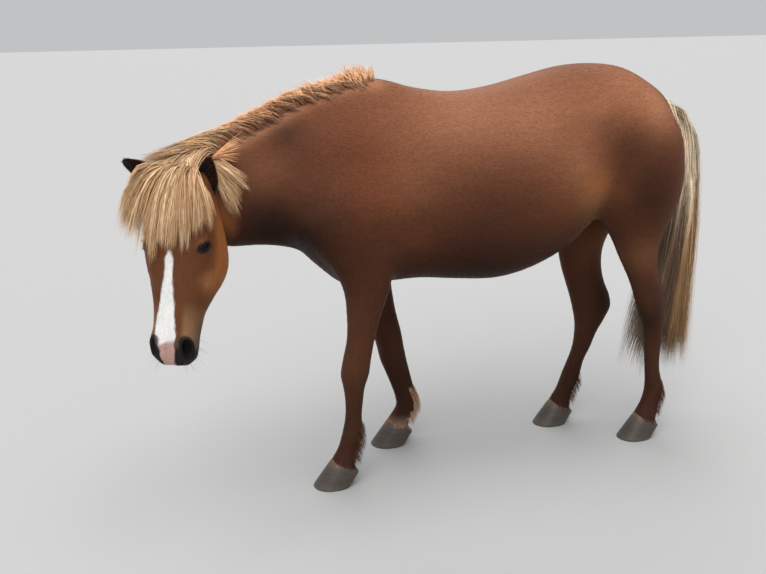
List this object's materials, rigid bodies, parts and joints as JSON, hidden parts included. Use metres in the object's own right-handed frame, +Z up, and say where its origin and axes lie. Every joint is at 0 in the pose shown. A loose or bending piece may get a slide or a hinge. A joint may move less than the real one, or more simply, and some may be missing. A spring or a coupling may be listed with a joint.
{
  "type": "icelandic horse model",
  "caption": "Life-size still model of a chestnut icelandic horse, standing with its head lowered and turned, with a pale mane and long tail.",
  "frame": {"origin": "middle of the horse's box on the floor it stands on", "axes": "+Z up; -X towards the head end along the body; +Y towards the horse's right side"},
  "size_m": [2.1036, 0.6756, 1.3941],
  "materials": {
    "coat": "short glossy chestnut hair",
    "dark_coat": "short dark brown hair",
    "pale_hair": "long soft flaxen hair",
    "hoof": "dull horn",
    "eye": "wet gloss"
  },
  "bodies": {
    "root": {"head": "coat", "neck": "coat", "torso": "coat", "leg_front_left": "dark_coat", "leg_front_right": "dark_coat", "leg_hind_left": "dark_coat", "leg_hind_right": "dark_coat", "hoof_front_left": "hoof", "hoof_front_right": "hoof", "hoof_hind_left": "hoof", "hoof_hind_right": "hoof", "tail": "pale_hair", "ear_left": "dark_coat", "ear_right": "dark_coat", "eye_left": "eye", "eye_right": "eye"}
  },
  "joints": []
}
